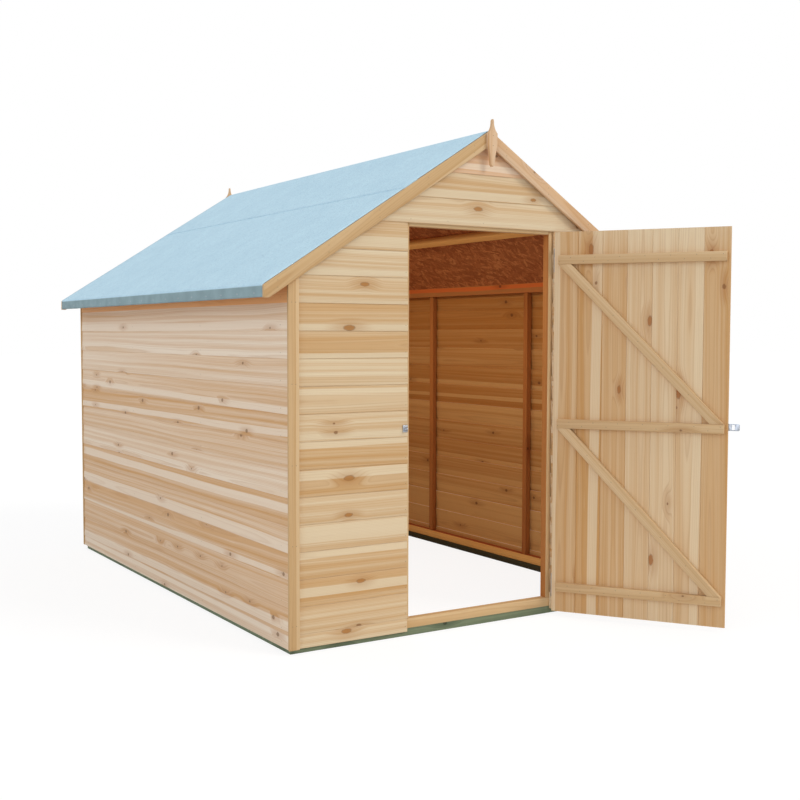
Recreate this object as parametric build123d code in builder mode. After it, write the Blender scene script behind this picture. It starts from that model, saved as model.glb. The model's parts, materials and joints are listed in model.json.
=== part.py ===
"""Timber garden shed: a small apex shed clad in overlapping boards, with one ledged and braced door.

Millimetres, +Z up. +X runs along the front from the left corner to the right, and +Y runs from the
front to the back. The origin is at ground level, under the middle of the front bearer, where the
shed rests. The door stands open, and its closed position is one end of its hinge's range.
"""
from build123d import *
from math import cos, radians, sin, tan
import os

os.makedirs("parts", exist_ok=True)

# Overall sizes
shed_width = 1800        # over the side cladding
shed_depth = 2530        # over the front and back cladding
ridge_above_door = 400   # top of the felt at the ridge above the doorway
roof_pitch = 32.5        # degrees
eaves_overhang = 105     # felt edge beyond the side cladding
gable_overhang = 8       # roof boards beyond the front and back cladding

# Timber sections
clad_t = 12              # overlapping cladding, through a lap
clad_bottom = 20         # lowest board above the ground
bearer_h = 30
bearer_w = 38
batten_w = 38            # framing, measured in the plane of the wall
batten_t = 34            # framing, measured through the wall
purlin_size = 34
stud_w = 32              # side walls' studs, which are lighter battens
stud_t = 27
middle_bay = 861         # between the two middle ones, at their centre lines
top_rail_h = 26          # on its outer face; its top follows the roof

# Roof
deck_t = 11              # roof boards
felt_t = 3
ridge_strip = 480        # ridge felt, from the ridge down each slope
eaves_board_t = 28
eaves_flap = 45          # felt turned down over the eaves board
barge_w = 50
barge_t = 14
barge_end_h = 46         # plumb cut at a barge's foot, above a level one

# Trims and finials
trim_w = 44
trim_t = 12
trim_lap = 3             # beyond the side cladding
finial_t = 16
finial_w = 44
finial_rise = 41         # above the ridge
finial_drop = 149        # below the ridge
spike_w = 7              # across the finial's spike
neck_drop = 16           # shoulders below the ridge
finial_taper = 88        # length of the drop that narrows to the foot
foot_w = 16              # across the finial's foot, where its point begins
taper_hollow = 2

# Doorway, door and their gaps
doorway_width = 696      # clear opening between the posts
doorway_offset = -18     # its middle from the shed's
doorway_top = 1614
door_gap = 5             # round the door's edges and behind it
latch_overlap = 7.5      # door over the face of the latch post
hinge_overlap = 16.5     # and of the hinge post
top_overlap = 8          # and of the lintel
door_bottom = 17
door_t = 10
door_open = 124          # degrees from closed
ledge_w = 38
ledge_t = 22
ledge_bottom_margin = 89  # door's foot to the lowest ledge
ledge_top_margin = 98    # top ledge to the door's head
ledge_end_hinge = 22     # door edge to ledge end
ledge_end_free = 14
brace_cut = 56           # length of a brace's level end cuts

# Hinges
hinge_barrel_r = 4.5
hinge_pin_r = 2
hinge_play = 0.1         # round the pin, in the strap's knuckle
hinge_leaf_h = 100
hinge_leaf_w = 32
hinge_plate_t = 2.5
hinge_knuckle = 40       # middle knuckle, on the strap
hinge_knuckle_gap = 1
strap_length = 300
strap_root_w = 34
strap_tip_w = 18

# Hasp and staple
hasp_rise = 6            # its middle above the middle ledge's
hasp_h = 28
hasp_t = 2
hasp_plate_length = 34
hasp_inset = 9           # hasp pin to the door's free edge
hasp_barrel_r = 3.5
hasp_pin_r = 1.25
hasp_play = 0.1
hasp_reach = 43          # leaf beyond the door's free edge
hasp_knuckle = 12
hasp_knuckle_gap = 0.6
slot_start = 12.5        # from the door's free edge
slot_length = 11.5
slot_height = 20
staple_plate_w = 22
staple_plate_h = 28
staple_wire = 5
staple_legs = 11         # between the legs' centre lines
staple_out = 18          # crown above the plate
staple_lead = 1          # towards the hasp's pin from the slot's middle

# Worked out from the sizes above
pitch = radians(roof_pitch)
half_width = shed_width / 2
ridge_height = doorway_top + ridge_above_door
front_y = -(clad_t + bearer_w / 2)      # outer face of the front cladding
back_y = front_y + shed_depth           # outer face of the back cladding
frame_x = half_width - clad_t           # outer face of the side frames
frame_front_y = front_y + clad_t        # outer face of the front frame
frame_back_y = back_y - clad_t
sill_top = bearer_h + batten_w
roof_t = felt_t + deck_t
roof_front_y = front_y - gable_overhang
roof_length = shed_depth + 2 * gable_overhang
eaves_x = half_width + eaves_overhang
seam_x = ridge_strip * cos(pitch)

doorway_left = doorway_offset - doorway_width / 2
doorway_right = doorway_offset + doorway_width / 2
door_free_x = doorway_left - latch_overlap
door_hinge_x = doorway_right + hinge_overlap
door_width = door_hinge_x - door_free_x
door_top = doorway_top + top_overlap
door_outer_y = frame_front_y - door_gap - door_t
cutout_left = door_free_x - door_gap
cutout_right = door_hinge_x + door_gap
cutout_top = door_top + door_gap

hinge_x = door_hinge_x + door_gap / 2
hinge_y = door_outer_y - hinge_barrel_r
door_face = door_outer_y - hinge_y      # door's outer face behind the hinge pin when closed
door_edge = hinge_x - door_hinge_x      # door's edge from the hinge pin
free_edge = door_edge + door_width

# Undersides of the ledges, the middle one halfway up the door
low_ledge = door_bottom + ledge_bottom_margin
middle_ledge = (door_bottom + door_top - ledge_w) / 2
top_ledge = door_top - ledge_top_margin - ledge_w
ledge_heights = (low_ledge, middle_ledge, top_ledge)
hinge_heights = (low_ledge + ledge_w / 2, top_ledge + ledge_w / 2)
hasp_height = middle_ledge + ledge_w / 2 + hasp_rise


def roof_z(x, below=0):
    """Height of the roof at x, on the surface that lies `below` under the top of the felt."""
    return ridge_height - abs(x) * tan(pitch) - below / cos(pitch)


def facing_front(y):
    """A sketch plane across the shed at depth y, with X to the right and Z up."""
    return Plane.XZ.offset(-y)


def door_plane(inward):
    """A sketch plane on the open door, X from the hinge pin to the free edge and Y up."""
    swing = radians(door_open)
    along = (-cos(swing), -sin(swing), 0)
    inside = (-sin(swing), cos(swing), 0)
    origin = (hinge_x + inward * inside[0], hinge_y + inward * inside[1], 0)
    return Plane(origin=origin, x_dir=along, z_dir=inside)


def save(builder, name):
    """Label a finished piece and write its STEP file."""
    builder.part.label = name
    export_step(builder.part, f"parts/{name}.step")


# ---------------------------------------------------------------- bearers under the walls

with BuildPart() as front_bearer:
    with BuildSketch():
        Rectangle(2 * frame_x, bearer_w)
    extrude(amount=bearer_h)
save(front_bearer, "front_bearer")

back_bearer_y = frame_back_y - bearer_w / 2
with BuildPart() as back_bearer:
    with BuildSketch():
        with Locations((0, back_bearer_y)):
            Rectangle(2 * frame_x, bearer_w)
    extrude(amount=bearer_h)
save(back_bearer, "back_bearer")

side_bearer_length = back_bearer_y - bearer_w
side_bearer_x = frame_x - bearer_w / 2
with BuildPart() as side_bearers:
    with BuildSketch():
        with Locations((-side_bearer_x, back_bearer_y / 2), (side_bearer_x, back_bearer_y / 2)):
            Rectangle(bearer_w, side_bearer_length)
    extrude(amount=bearer_h)
save(side_bearers, "side_bearers")

# ---------------------------------------------------------------- front wall

# Where the roof's underside comes down to the top of the door's cut-out
gable_x = (ridge_height - roof_t / cos(pitch) - cutout_top) / tan(pitch)

for side, sign, jamb_x in (("left", -1, cutout_left), ("right", 1, cutout_right)):
    with BuildPart() as front_cladding:
        with BuildSketch(facing_front(front_y)):
            with BuildLine():
                Polyline(
                    (sign * frame_x, clad_bottom),
                    (jamb_x, clad_bottom),
                    (jamb_x, cutout_top),
                    (sign * gable_x, cutout_top),
                    (sign * frame_x, roof_z(frame_x, roof_t)),
                    close=True,
                )
            make_face()
        extrude(amount=-clad_t)
    save(front_cladding, f"front_cladding_{side}")

with BuildPart() as front_gable:
    with BuildSketch(facing_front(front_y)):
        with BuildLine():
            Polyline(
                (-gable_x, cutout_top),
                (gable_x, cutout_top),
                (0, roof_z(0, roof_t)),
                close=True,
            )
        make_face()
    extrude(amount=-clad_t)
save(front_gable, "front_gable")

with BuildPart() as front_sill:
    with BuildSketch(Plane.XY.offset(bearer_h)):
        with Locations((0, frame_front_y + batten_t / 2)):
            Rectangle(2 * frame_x, batten_t)
    extrude(amount=batten_w)
save(front_sill, "front_sill")


def sloped_upright(inner_x, outer_x, bottom, below):
    """A face for an upright whose top follows the roof."""
    Polyline(
        (inner_x, bottom),
        (outer_x, bottom),
        (outer_x, roof_z(outer_x, below)),
        (inner_x, roof_z(inner_x, below)),
        close=True,
    )


rail_below = roof_t + batten_w          # underside of the sloping gable rails

for side, inner_x, outer_x in (
    ("left", doorway_left, doorway_left - batten_w),
    ("right", doorway_right, doorway_right + batten_w),
):
    with BuildPart() as door_post:
        with BuildSketch(facing_front(frame_front_y)):
            with BuildLine():
                sloped_upright(inner_x, outer_x, sill_top, rail_below)
            make_face()
        extrude(amount=-batten_t)
    save(door_post, f"door_post_{side}")

with BuildPart() as door_lintel:
    with BuildSketch(Plane.XY.offset(doorway_top)):
        with Locations(((doorway_left + doorway_right) / 2, frame_front_y + batten_t / 2)):
            Rectangle(doorway_right - doorway_left, batten_t)
    extrude(amount=batten_w)
save(door_lintel, "door_lintel")

with BuildPart() as front_corner_studs:
    with BuildSketch(facing_front(frame_front_y)):
        for sign in (-1, 1):
            with BuildLine():
                sloped_upright(sign * (frame_x - batten_w), sign * frame_x, sill_top, rail_below)
            make_face()
    extrude(amount=-batten_t)
save(front_corner_studs, "front_corner_studs")

rail_gap = 0.5           # each gable rail's plumb cut from the middle

for end, rail_y in (("front", frame_front_y), ("back", frame_back_y - batten_t)):
    with BuildPart() as gable_rails:
        with BuildSketch(facing_front(rail_y)):
            for sign in (-1, 1):
                with BuildLine():
                    Polyline(
                        (sign * rail_gap, roof_z(rail_gap, roof_t)),
                        (sign * frame_x, roof_z(frame_x, roof_t)),
                        (sign * frame_x, roof_z(frame_x, rail_below)),
                        (sign * rail_gap, roof_z(rail_gap, rail_below)),
                        close=True,
                    )
                make_face()
        extrude(amount=-batten_t)
    save(gable_rails, f"{end}_gable_rails")

# ---------------------------------------------------------------- side walls

side_y0 = frame_front_y + batten_t      # the side frames stand between the front and back frames
side_y1 = frame_back_y - batten_t
side_length = side_y1 - side_y0
frame_inner_x = frame_x - batten_t
top_rail_z = roof_z(frame_x, roof_t) - top_rail_h

for side, sign in (("left", -1), ("right", 1)):
    with BuildPart() as side_cladding:
        with BuildSketch(facing_front(front_y)):
            with BuildLine():
                sloped_upright(sign * frame_x, sign * half_width, clad_bottom, roof_t)
            make_face()
        extrude(amount=-shed_depth)
    save(side_cladding, f"{side}_cladding")

    with BuildPart() as side_rails:
        with BuildSketch(facing_front(side_y0)):
            with BuildLine():
                sloped_upright(sign * frame_inner_x, sign * frame_x, top_rail_z, roof_t)
            make_face()
            with Locations((sign * (frame_x - batten_t / 2), bearer_h + batten_w / 2)):
                Rectangle(batten_t, batten_w)
        extrude(amount=-side_length)
    save(side_rails, f"{side}_rails")

    with BuildPart() as side_studs:
        with BuildSketch(Plane.XY.offset(sill_top)):
            with Locations((sign * (frame_x - stud_t / 2), (side_y0 + side_y1) / 2)):
                with GridLocations(1, side_length - stud_w, 1, 2):
                    Rectangle(stud_t, stud_w)
                with GridLocations(1, middle_bay, 1, 2):
                    Rectangle(stud_t, stud_w)
        extrude(amount=top_rail_z - sill_top)
    save(side_studs, f"{side}_studs")

# ---------------------------------------------------------------- back wall

with BuildPart() as back_cladding:
    with BuildSketch(facing_front(frame_back_y)):
        with BuildLine():
            Polyline(
                (-frame_x, clad_bottom),
                (frame_x, clad_bottom),
                (frame_x, roof_z(frame_x, roof_t)),
                (0, roof_z(0, roof_t)),
                (-frame_x, roof_z(frame_x, roof_t)),
                close=True,
            )
        make_face()
    extrude(amount=-clad_t)
save(back_cladding, "back_cladding")

back_stud_pitch = (2 * frame_x - batten_w) / 3
back_stud_inner = back_stud_pitch / 2 - batten_w / 2
back_bay = back_stud_pitch - batten_w
back_rail_z = top_rail_z - batten_w

with BuildPart() as back_studs:
    with BuildSketch(facing_front(side_y1)):
        for sign in (-1, 1):
            for inner_x in (back_stud_inner, frame_x - batten_w):
                with BuildLine():
                    outer_x = inner_x + batten_w
                    sloped_upright(sign * inner_x, sign * outer_x, sill_top, rail_below)
                make_face()
    extrude(amount=-batten_t)
save(back_studs, "back_studs")

with BuildPart() as back_rails:
    with BuildSketch(facing_front(side_y1)):
        with Locations((0, bearer_h + batten_w / 2)):
            Rectangle(2 * frame_x, batten_w)
        with Locations((0, back_rail_z + batten_w / 2)):
            with GridLocations(back_stud_pitch, 1, 3, 1):
                Rectangle(back_bay, batten_w)
    extrude(amount=-batten_t)
save(back_rails, "back_rails")

# ---------------------------------------------------------------- roof

deck_edge_x = eaves_x - felt_t
flap_bottom = roof_z(eaves_x) - eaves_flap

for side, sign in (("left", -1), ("right", 1)):
    with BuildPart() as roof_board:
        with BuildSketch(facing_front(roof_front_y)):
            with BuildLine():
                Polyline(
                    (0, roof_z(0, felt_t)),
                    (sign * deck_edge_x, roof_z(deck_edge_x, felt_t)),
                    (sign * deck_edge_x, roof_z(deck_edge_x, roof_t)),
                    (0, roof_z(0, roof_t)),
                    close=True,
                )
            make_face()
        extrude(amount=-roof_length)
    save(roof_board, f"roof_board_{side}")

    with BuildPart() as felt:
        with BuildSketch(facing_front(roof_front_y)):
            with BuildLine():
                Polyline(
                    (sign * seam_x, roof_z(seam_x)),
                    (sign * eaves_x, roof_z(eaves_x)),
                    (sign * eaves_x, flap_bottom),
                    (sign * deck_edge_x, flap_bottom),
                    (sign * deck_edge_x, roof_z(deck_edge_x, felt_t)),
                    (sign * seam_x, roof_z(seam_x, felt_t)),
                    close=True,
                )
            make_face()
        extrude(amount=-roof_length)
    save(felt, f"felt_{side}")

with BuildPart() as felt_ridge:
    with BuildSketch(facing_front(roof_front_y)):
        with BuildLine():
            Polyline(
                (-seam_x, roof_z(seam_x)),
                (0, roof_z(0)),
                (seam_x, roof_z(seam_x)),
                (seam_x, roof_z(seam_x, felt_t)),
                (0, roof_z(0, felt_t)),
                (-seam_x, roof_z(seam_x, felt_t)),
                close=True,
            )
        make_face()
    extrude(amount=-roof_length)
save(felt_ridge, "felt_ridge")

with BuildPart() as eaves_boards:
    with BuildSketch(facing_front(roof_front_y)):
        for sign in (-1, 1):
            with BuildLine():
                inner_x = deck_edge_x - eaves_board_t
                sloped_upright(sign * inner_x, sign * deck_edge_x, flap_bottom, roof_t)
            make_face()
    extrude(amount=-roof_length)
save(eaves_boards, "eaves_boards")

# Halfway down each slope, square to it, between the gable frames
purlin_x = eaves_x / 2
half_x = purlin_size / 2 * cos(pitch)
drop_x = purlin_size * sin(pitch)
with BuildPart() as purlins:
    with BuildSketch(facing_front(side_y0)):
        for sign in (-1, 1):
            with BuildLine():
                low_upper_x = purlin_x - half_x - drop_x
                low_lower_x = purlin_x + half_x - drop_x
                Polyline(
                    (sign * (purlin_x - half_x), roof_z(purlin_x - half_x, roof_t)),
                    (sign * (purlin_x + half_x), roof_z(purlin_x + half_x, roof_t)),
                    (sign * low_lower_x, roof_z(low_lower_x, roof_t + purlin_size)),
                    (sign * low_upper_x, roof_z(low_upper_x, roof_t + purlin_size)),
                    close=True,
                )
            make_face()
    extrude(amount=-side_length)
save(purlins, "purlins")

# ---------------------------------------------------------------- barge boards and finials

# Their upper edges are level with the roof boards, so that the felt's edge shows above them
barge_foot = felt_t + barge_w           # lower edge under the top of the felt
barge_end_z = roof_z(eaves_x, felt_t) - barge_end_h
level_x = (roof_z(0, barge_foot) - barge_end_z) / tan(pitch)
barge_front_y = roof_front_y - barge_t
barge_back_y = roof_front_y + roof_length
for end, barge_y in (("front", barge_front_y), ("back", barge_back_y)):
    for side, sign in (("left", -1), ("right", 1)):
        with BuildPart() as barge_board:
            with BuildSketch(facing_front(barge_y)):
                with BuildLine():
                    Polyline(
                        (0, roof_z(0, felt_t)),
                        (sign * eaves_x, roof_z(eaves_x, felt_t)),
                        (sign * eaves_x, barge_end_z),
                        (sign * level_x, barge_end_z),
                        (0, roof_z(0, barge_foot)),
                        close=True,
                    )
                make_face()
            extrude(amount=-barge_t)
        save(barge_board, f"{end}_barge_{side}")

# A flat board with a spike above the ridge and a long tapered drop below
finial_top = ridge_height + finial_rise
finial_foot = ridge_height - finial_drop
neck_z = ridge_height - neck_drop
taper_z = finial_foot + finial_taper
point_z = finial_foot + foot_w / 2
hollow_x = (finial_w + foot_w) / 4 - taper_hollow
for end, finial_y in (
    ("front", barge_front_y - finial_t),
    ("back", barge_back_y + barge_t),
):
    with BuildPart() as finial:
        with BuildSketch(facing_front(finial_y)):
            with BuildLine():
                for sign in (-1, 1):
                    Line((0, finial_top), (sign * spike_w / 2, finial_top - spike_w))
                    ThreePointArc(
                        (sign * spike_w / 2, finial_top - spike_w),
                        (sign * spike_w * 0.8, (finial_top + neck_z) / 2),
                        (sign * finial_w / 2, neck_z),
                    )
                    Line((sign * finial_w / 2, neck_z), (sign * finial_w / 2, taper_z))
                    ThreePointArc(
                        (sign * finial_w / 2, taper_z),
                        (sign * hollow_x, (taper_z + point_z) / 2),
                        (sign * foot_w / 2, point_z),
                    )
                    Line((sign * foot_w / 2, point_z), (0, finial_foot))
            make_face()
        extrude(amount=-finial_t)
    save(finial, f"{end}_finial")

# ---------------------------------------------------------------- corner trims

for end, trim_y in (("front", front_y - trim_t), ("rear", back_y)):
    with BuildPart() as corner_trims:
        with BuildSketch(facing_front(trim_y)):
            for sign in (-1, 1):
                with BuildLine():
                    outer_x = half_width + trim_lap
                    sloped_upright(sign * (outer_x - trim_w), sign * outer_x, clad_bottom, barge_foot)
                make_face()
        extrude(amount=-trim_t)
    save(corner_trims, f"{end}_corner_trims")

# ---------------------------------------------------------------- door

inner_face = door_face + door_t
ledge_start = door_edge + ledge_end_hinge
ledge_stop = free_edge - ledge_end_free
ledge_length = ledge_stop - ledge_start

with BuildPart() as door_boards:
    with BuildSketch(door_plane(door_face)):
        with Locations((door_edge + door_width / 2, (door_bottom + door_top) / 2)):
            Rectangle(door_width, door_top - door_bottom)
    extrude(amount=door_t)
save(door_boards, "door_boards")

with BuildPart() as door_ledges:
    with BuildSketch(door_plane(inner_face)):
        for height in ledge_heights:
            with Locations((ledge_start + ledge_length / 2, height + ledge_w / 2)):
                Rectangle(ledge_length, ledge_w)
    extrude(amount=ledge_t)
save(door_ledges, "door_ledges")

with BuildPart() as door_braces:
    with BuildSketch(door_plane(inner_face)):
        for lower, upper in zip(ledge_heights, ledge_heights[1:]):
            with BuildLine():
                Polyline(
                    (ledge_start, upper),
                    (ledge_start + brace_cut, upper),
                    (ledge_stop, lower + ledge_w),
                    (ledge_stop - brace_cut, lower + ledge_w),
                    close=True,
                )
            make_face()
    extrude(amount=ledge_t)
save(door_braces, "door_braces")

# ---------------------------------------------------------------- tee hinges

knuckle_bottom = hinge_knuckle / 2 + hinge_knuckle_gap
knuckle_h = hinge_leaf_h / 2 - knuckle_bottom

with BuildPart() as hinge_leaves:
    for height in hinge_heights:
        leaf_bottom = height - hinge_leaf_h / 2
        with BuildSketch(Plane.XY.offset(leaf_bottom)):
            with Locations((hinge_x, hinge_y)):
                Circle(hinge_pin_r)
            with Locations((hinge_x + hinge_barrel_r, front_y)):
                Rectangle(hinge_leaf_w, hinge_plate_t, align=(Align.MIN, Align.MAX))
        extrude(amount=hinge_leaf_h)
        for bottom in (leaf_bottom, height + knuckle_bottom):
            with BuildSketch(Plane.XY.offset(bottom)):
                with Locations((hinge_x, hinge_y)):
                    Circle(hinge_barrel_r)
                with Locations((hinge_x + hinge_barrel_r, front_y)):
                    Rectangle(hinge_plate_t, front_y - hinge_y, align=(Align.MAX, Align.MAX))
            extrude(amount=knuckle_h)
save(hinge_leaves, "hinge_leaves")

with BuildPart() as hinge_straps:
    for height in hinge_heights:
        with BuildSketch(Plane.XY.offset(height - hinge_knuckle / 2)):
            with Locations((hinge_x, hinge_y)):
                Circle(hinge_barrel_r)
        extrude(amount=hinge_knuckle)
        with BuildSketch(door_plane(door_face - hinge_plate_t)):
            with BuildLine():
                Polyline(
                    (0, height - strap_root_w / 2),
                    (strap_length - strap_tip_w / 2, height - strap_tip_w / 2),
                )
                ThreePointArc(
                    (strap_length - strap_tip_w / 2, height - strap_tip_w / 2),
                    (strap_length, height),
                    (strap_length - strap_tip_w / 2, height + strap_tip_w / 2),
                )
                Polyline(
                    (strap_length - strap_tip_w / 2, height + strap_tip_w / 2),
                    (0, height + strap_root_w / 2),
                    (0, height - strap_root_w / 2),
                )
            make_face()
        extrude(amount=hinge_plate_t)
        with BuildSketch(Plane.XY.offset(height - hinge_knuckle / 2)):
            with Locations((hinge_x, hinge_y)):
                Circle(hinge_pin_r + hinge_play)
        extrude(amount=hinge_knuckle, mode=Mode.SUBTRACT)
save(hinge_straps, "hinge_straps")

# ---------------------------------------------------------------- hasp and staple

hasp_pin = free_edge - hasp_inset       # along the door from the hinge pin
hasp_axis = door_face - hasp_t - hasp_barrel_r


def hasp_plane(height):
    """A level sketch plane on the hasp's pin, X along the door to the free edge, Y inward."""
    at_pin = door_plane(hasp_axis).from_local_coords((hasp_pin, height, 0))
    return Plane(origin=at_pin, x_dir=door_plane(0).x_dir, z_dir=(0, 0, -1))


hasp_top = hasp_height + hasp_h / 2
hasp_middle_top = hasp_height + hasp_knuckle / 2
hasp_end_knuckle = (hasp_h - hasp_knuckle) / 2 - hasp_knuckle_gap

with BuildPart() as hasp_plate:
    with BuildSketch(door_plane(door_face - hasp_t)):
        with Locations((hasp_pin - hasp_plate_length / 2, hasp_height)):
            Rectangle(hasp_plate_length, hasp_h)
    extrude(amount=hasp_t)
    with BuildSketch(hasp_plane(hasp_top)):
        Circle(hasp_pin_r)
    extrude(amount=hasp_h)
    for top in (hasp_top, hasp_height - hasp_knuckle / 2 - hasp_knuckle_gap):
        with BuildSketch(hasp_plane(top)):
            Circle(hasp_barrel_r)
            with Locations((0, hasp_barrel_r)):
                Rectangle(hasp_barrel_r, hasp_barrel_r + hasp_t, align=(Align.MAX, Align.MAX))
        extrude(amount=hasp_end_knuckle)
save(hasp_plate, "hasp_plate")

with BuildPart() as hasp_leaf:
    with BuildSketch(door_plane(hasp_axis - hasp_t / 2)):
        leaf_length = hasp_inset + hasp_reach
        with Locations((hasp_pin + leaf_length / 2, hasp_height)):
            RectangleRounded(leaf_length, hasp_h, 6)
        slot_middle = free_edge + slot_start + slot_length / 2
        with Locations((slot_middle, hasp_height)):
            Rectangle(slot_length, slot_height, mode=Mode.SUBTRACT)
    extrude(amount=hasp_t)
    with BuildSketch(hasp_plane(hasp_top)):
        Rectangle(2 * (hasp_barrel_r + 1), 2 * (hasp_barrel_r + 1))
    extrude(amount=hasp_h, mode=Mode.SUBTRACT)
    with BuildSketch(hasp_plane(hasp_middle_top)):
        Circle(hasp_barrel_r)
        with Locations((0, 0)):
            Rectangle(hasp_barrel_r + 2, hasp_t, align=(Align.MIN, Align.CENTER))
    extrude(amount=hasp_knuckle)
    with BuildSketch(hasp_plane(hasp_middle_top)):
        Circle(hasp_pin_r + hasp_play)
    extrude(amount=hasp_knuckle, mode=Mode.SUBTRACT)
save(hasp_leaf, "hasp_leaf")

staple_x = door_free_x - slot_start - slot_length / 2 + staple_lead
staple_crown_y = front_y - hasp_t - staple_out
with BuildPart() as staple:
    with BuildSketch(facing_front(front_y)):
        with Locations((staple_x, hasp_height)):
            Rectangle(staple_plate_w, staple_plate_h)
    extrude(amount=hasp_t)
    with BuildLine():
        low = hasp_height - staple_legs / 2
        high = hasp_height + staple_legs / 2
        bend_y = staple_crown_y + staple_wire / 2 + staple_legs / 2
        Line((staple_x, front_y - hasp_t, low), (staple_x, bend_y, low))
        ThreePointArc(
            (staple_x, bend_y, low),
            (staple_x, staple_crown_y + staple_wire / 2, hasp_height),
            (staple_x, bend_y, high),
        )
        Line((staple_x, bend_y, high), (staple_x, front_y - hasp_t, high))
    with BuildSketch(Plane(origin=(staple_x, front_y - hasp_t, low), z_dir=(0, -1, 0))):
        Circle(staple_wire / 2)
    sweep()
save(staple, "staple")
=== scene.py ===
"""Timber garden shed, dressed over its fixed frame: bearers, framing, lapped boards, felted roof,
ledged and braced door, and ironmongery. Metres, with +X along the front and +Y to the back."""
import functools
import json
import math
import random
import bmesh
import bpy
from mathutils import Matrix, Vector, noise


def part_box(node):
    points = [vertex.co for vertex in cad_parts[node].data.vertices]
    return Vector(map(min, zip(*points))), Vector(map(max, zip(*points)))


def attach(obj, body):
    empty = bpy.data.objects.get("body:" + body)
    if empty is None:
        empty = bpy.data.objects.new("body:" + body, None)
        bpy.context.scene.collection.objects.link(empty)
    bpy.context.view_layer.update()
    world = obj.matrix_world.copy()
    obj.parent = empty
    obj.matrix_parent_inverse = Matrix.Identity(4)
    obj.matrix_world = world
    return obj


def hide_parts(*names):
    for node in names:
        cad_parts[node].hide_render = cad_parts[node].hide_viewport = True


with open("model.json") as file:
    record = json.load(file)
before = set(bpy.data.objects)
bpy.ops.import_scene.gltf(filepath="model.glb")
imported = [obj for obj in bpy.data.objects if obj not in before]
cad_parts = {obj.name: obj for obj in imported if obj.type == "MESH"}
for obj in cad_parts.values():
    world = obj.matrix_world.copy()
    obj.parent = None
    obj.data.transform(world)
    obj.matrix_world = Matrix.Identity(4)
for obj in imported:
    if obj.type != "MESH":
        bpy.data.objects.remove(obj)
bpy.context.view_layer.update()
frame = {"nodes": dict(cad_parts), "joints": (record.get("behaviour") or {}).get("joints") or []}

# ---------------------------------------------------------------- camera
# Stands in front of the left corner at eye height, looking a little down the shed's length, with
# a normal lens.
eye, heading, tip, roll = (-2.7843, -3.80296, 1.19357), -32.136, 86.722, 0.116
camera = bpy.data.objects.new("camera", bpy.data.cameras.new("camera"))
bpy.context.scene.collection.objects.link(camera)
bpy.context.scene.camera = camera
camera.data.lens = 51.606
camera.data.sensor_width = 36
camera.matrix_world = (Matrix.Translation(eye) @ Matrix.Rotation(math.radians(heading), 4, "Z")
                       @ Matrix.Rotation(math.radians(tip), 4, "X")
                       @ Matrix.Rotation(math.radians(roll), 4, "Z"))

# ---------------------------------------------------------------- studio
# A plain pale floor under a white sky, with one broad soft lamp high in front and to the right and
# a weaker one from the left. The floor and the sky read as white, and the floor keeps the shadow.


def linear(code):
    """A colour for a socket from its sRGB hex value."""
    parts = [int(code[i:i + 2], 16) / 255 for i in (1, 3, 5)]
    return tuple(c / 12.92 if c <= 0.04045 else ((c + 0.055) / 1.055) ** 2.4 for c in parts) + (1,)


def plug(node, inputs):
    """Sets a node's inputs, in order or by name or number. Each is a value, a socket or a node."""
    live = [s for s in node.inputs if s.enabled]
    for key, value in (inputs if isinstance(inputs, dict) else dict(enumerate(inputs))).items():
        socket = live[key] if isinstance(key, int) else next(s for s in live if s.name == key)
        if isinstance(value, bpy.types.Node):
            value = next(s for s in value.outputs if s.enabled)
        if isinstance(value, bpy.types.NodeSocket):
            node.id_data.links.new(value, socket)
        else:
            socket.default_value = value


def add_node(tree, kind, inputs=(), stops=(), **settings):
    """Adds a node with its settings, its colour stops and its inputs."""
    made = tree.nodes.new("ShaderNode" + kind)
    for setting, value in settings.items():
        setattr(made, setting, value)
    for place, (position, code) in enumerate(stops):
        ramp = made.color_ramp.elements
        stop = ramp[place] if place < 2 else ramp.new(position)
        stop.position, stop.color = position, linear(code)
    plug(made, inputs)
    return made


def new_material(name):
    """An empty material, add_node for its tree, and its shader."""
    made = bpy.data.materials.new(name)
    made.use_nodes = True
    tree = made.node_tree
    return made, functools.partial(add_node, tree), tree.nodes["Principled BSDF"]


white = (1, 1, 1, 1)
floor_paint, add, surface = new_material("matt_white_floor_paint")
seen = add("LightPath").outputs["Is Camera Ray"]
plug(surface, {
    "Base Color": add("Mix", (seen, linear("#E6E6E6"), linear("#7C7C7C")), data_type="RGBA"),
    "Emission Strength": add("Math", (seen, 0.84), operation="MULTIPLY"),
    "Emission Color": white, "Roughness": 0.9, "Specular IOR Level": 0.0})
shape = bmesh.new()
bmesh.ops.create_grid(shape, x_segments=1, y_segments=1, size=60)
floor_mesh = bpy.data.meshes.new("floor")
shape.to_mesh(floor_mesh)
shape.free()
floor_mesh.materials.append(floor_paint)
floor = bpy.data.objects.new("floor", floor_mesh)
bpy.context.scene.collection.objects.link(floor)

world = bpy.data.worlds.new("white_sky")
bpy.context.scene.world = world
world.use_nodes = True
add = functools.partial(add_node, world.node_tree)
path = add("LightPath").outputs
shown = add("Math", (path["Is Camera Ray"], path["Is Glossy Ray"]), operation="MAXIMUM")
shown = add("Math", (shown, path["Is Transmission Ray"]), operation="MAXIMUM")
strength = add("Mix", (shown, 0.62, 1.0), data_type="FLOAT")
plug(world.node_tree.nodes["Background"], {"Color": white, "Strength": strength})

for name, power, tint, turned, height, softness in (
    ("key_lamp", 1.1, "#FFFAF0", 34, 36, 24),
    ("side_lamp", 0.75, "#E4F0FF", -70, 20, 50),
):
    lamp = bpy.data.lights.new(name, "SUN")
    lamp.energy, lamp.color = power, linear(tint)[:3]
    lamp.angle = math.radians(softness)
    stand = bpy.data.objects.new(name, lamp)
    stand.rotation_euler = (math.radians(90 - height), 0, math.radians(turned))
    bpy.context.scene.collection.objects.link(stand)

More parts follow.
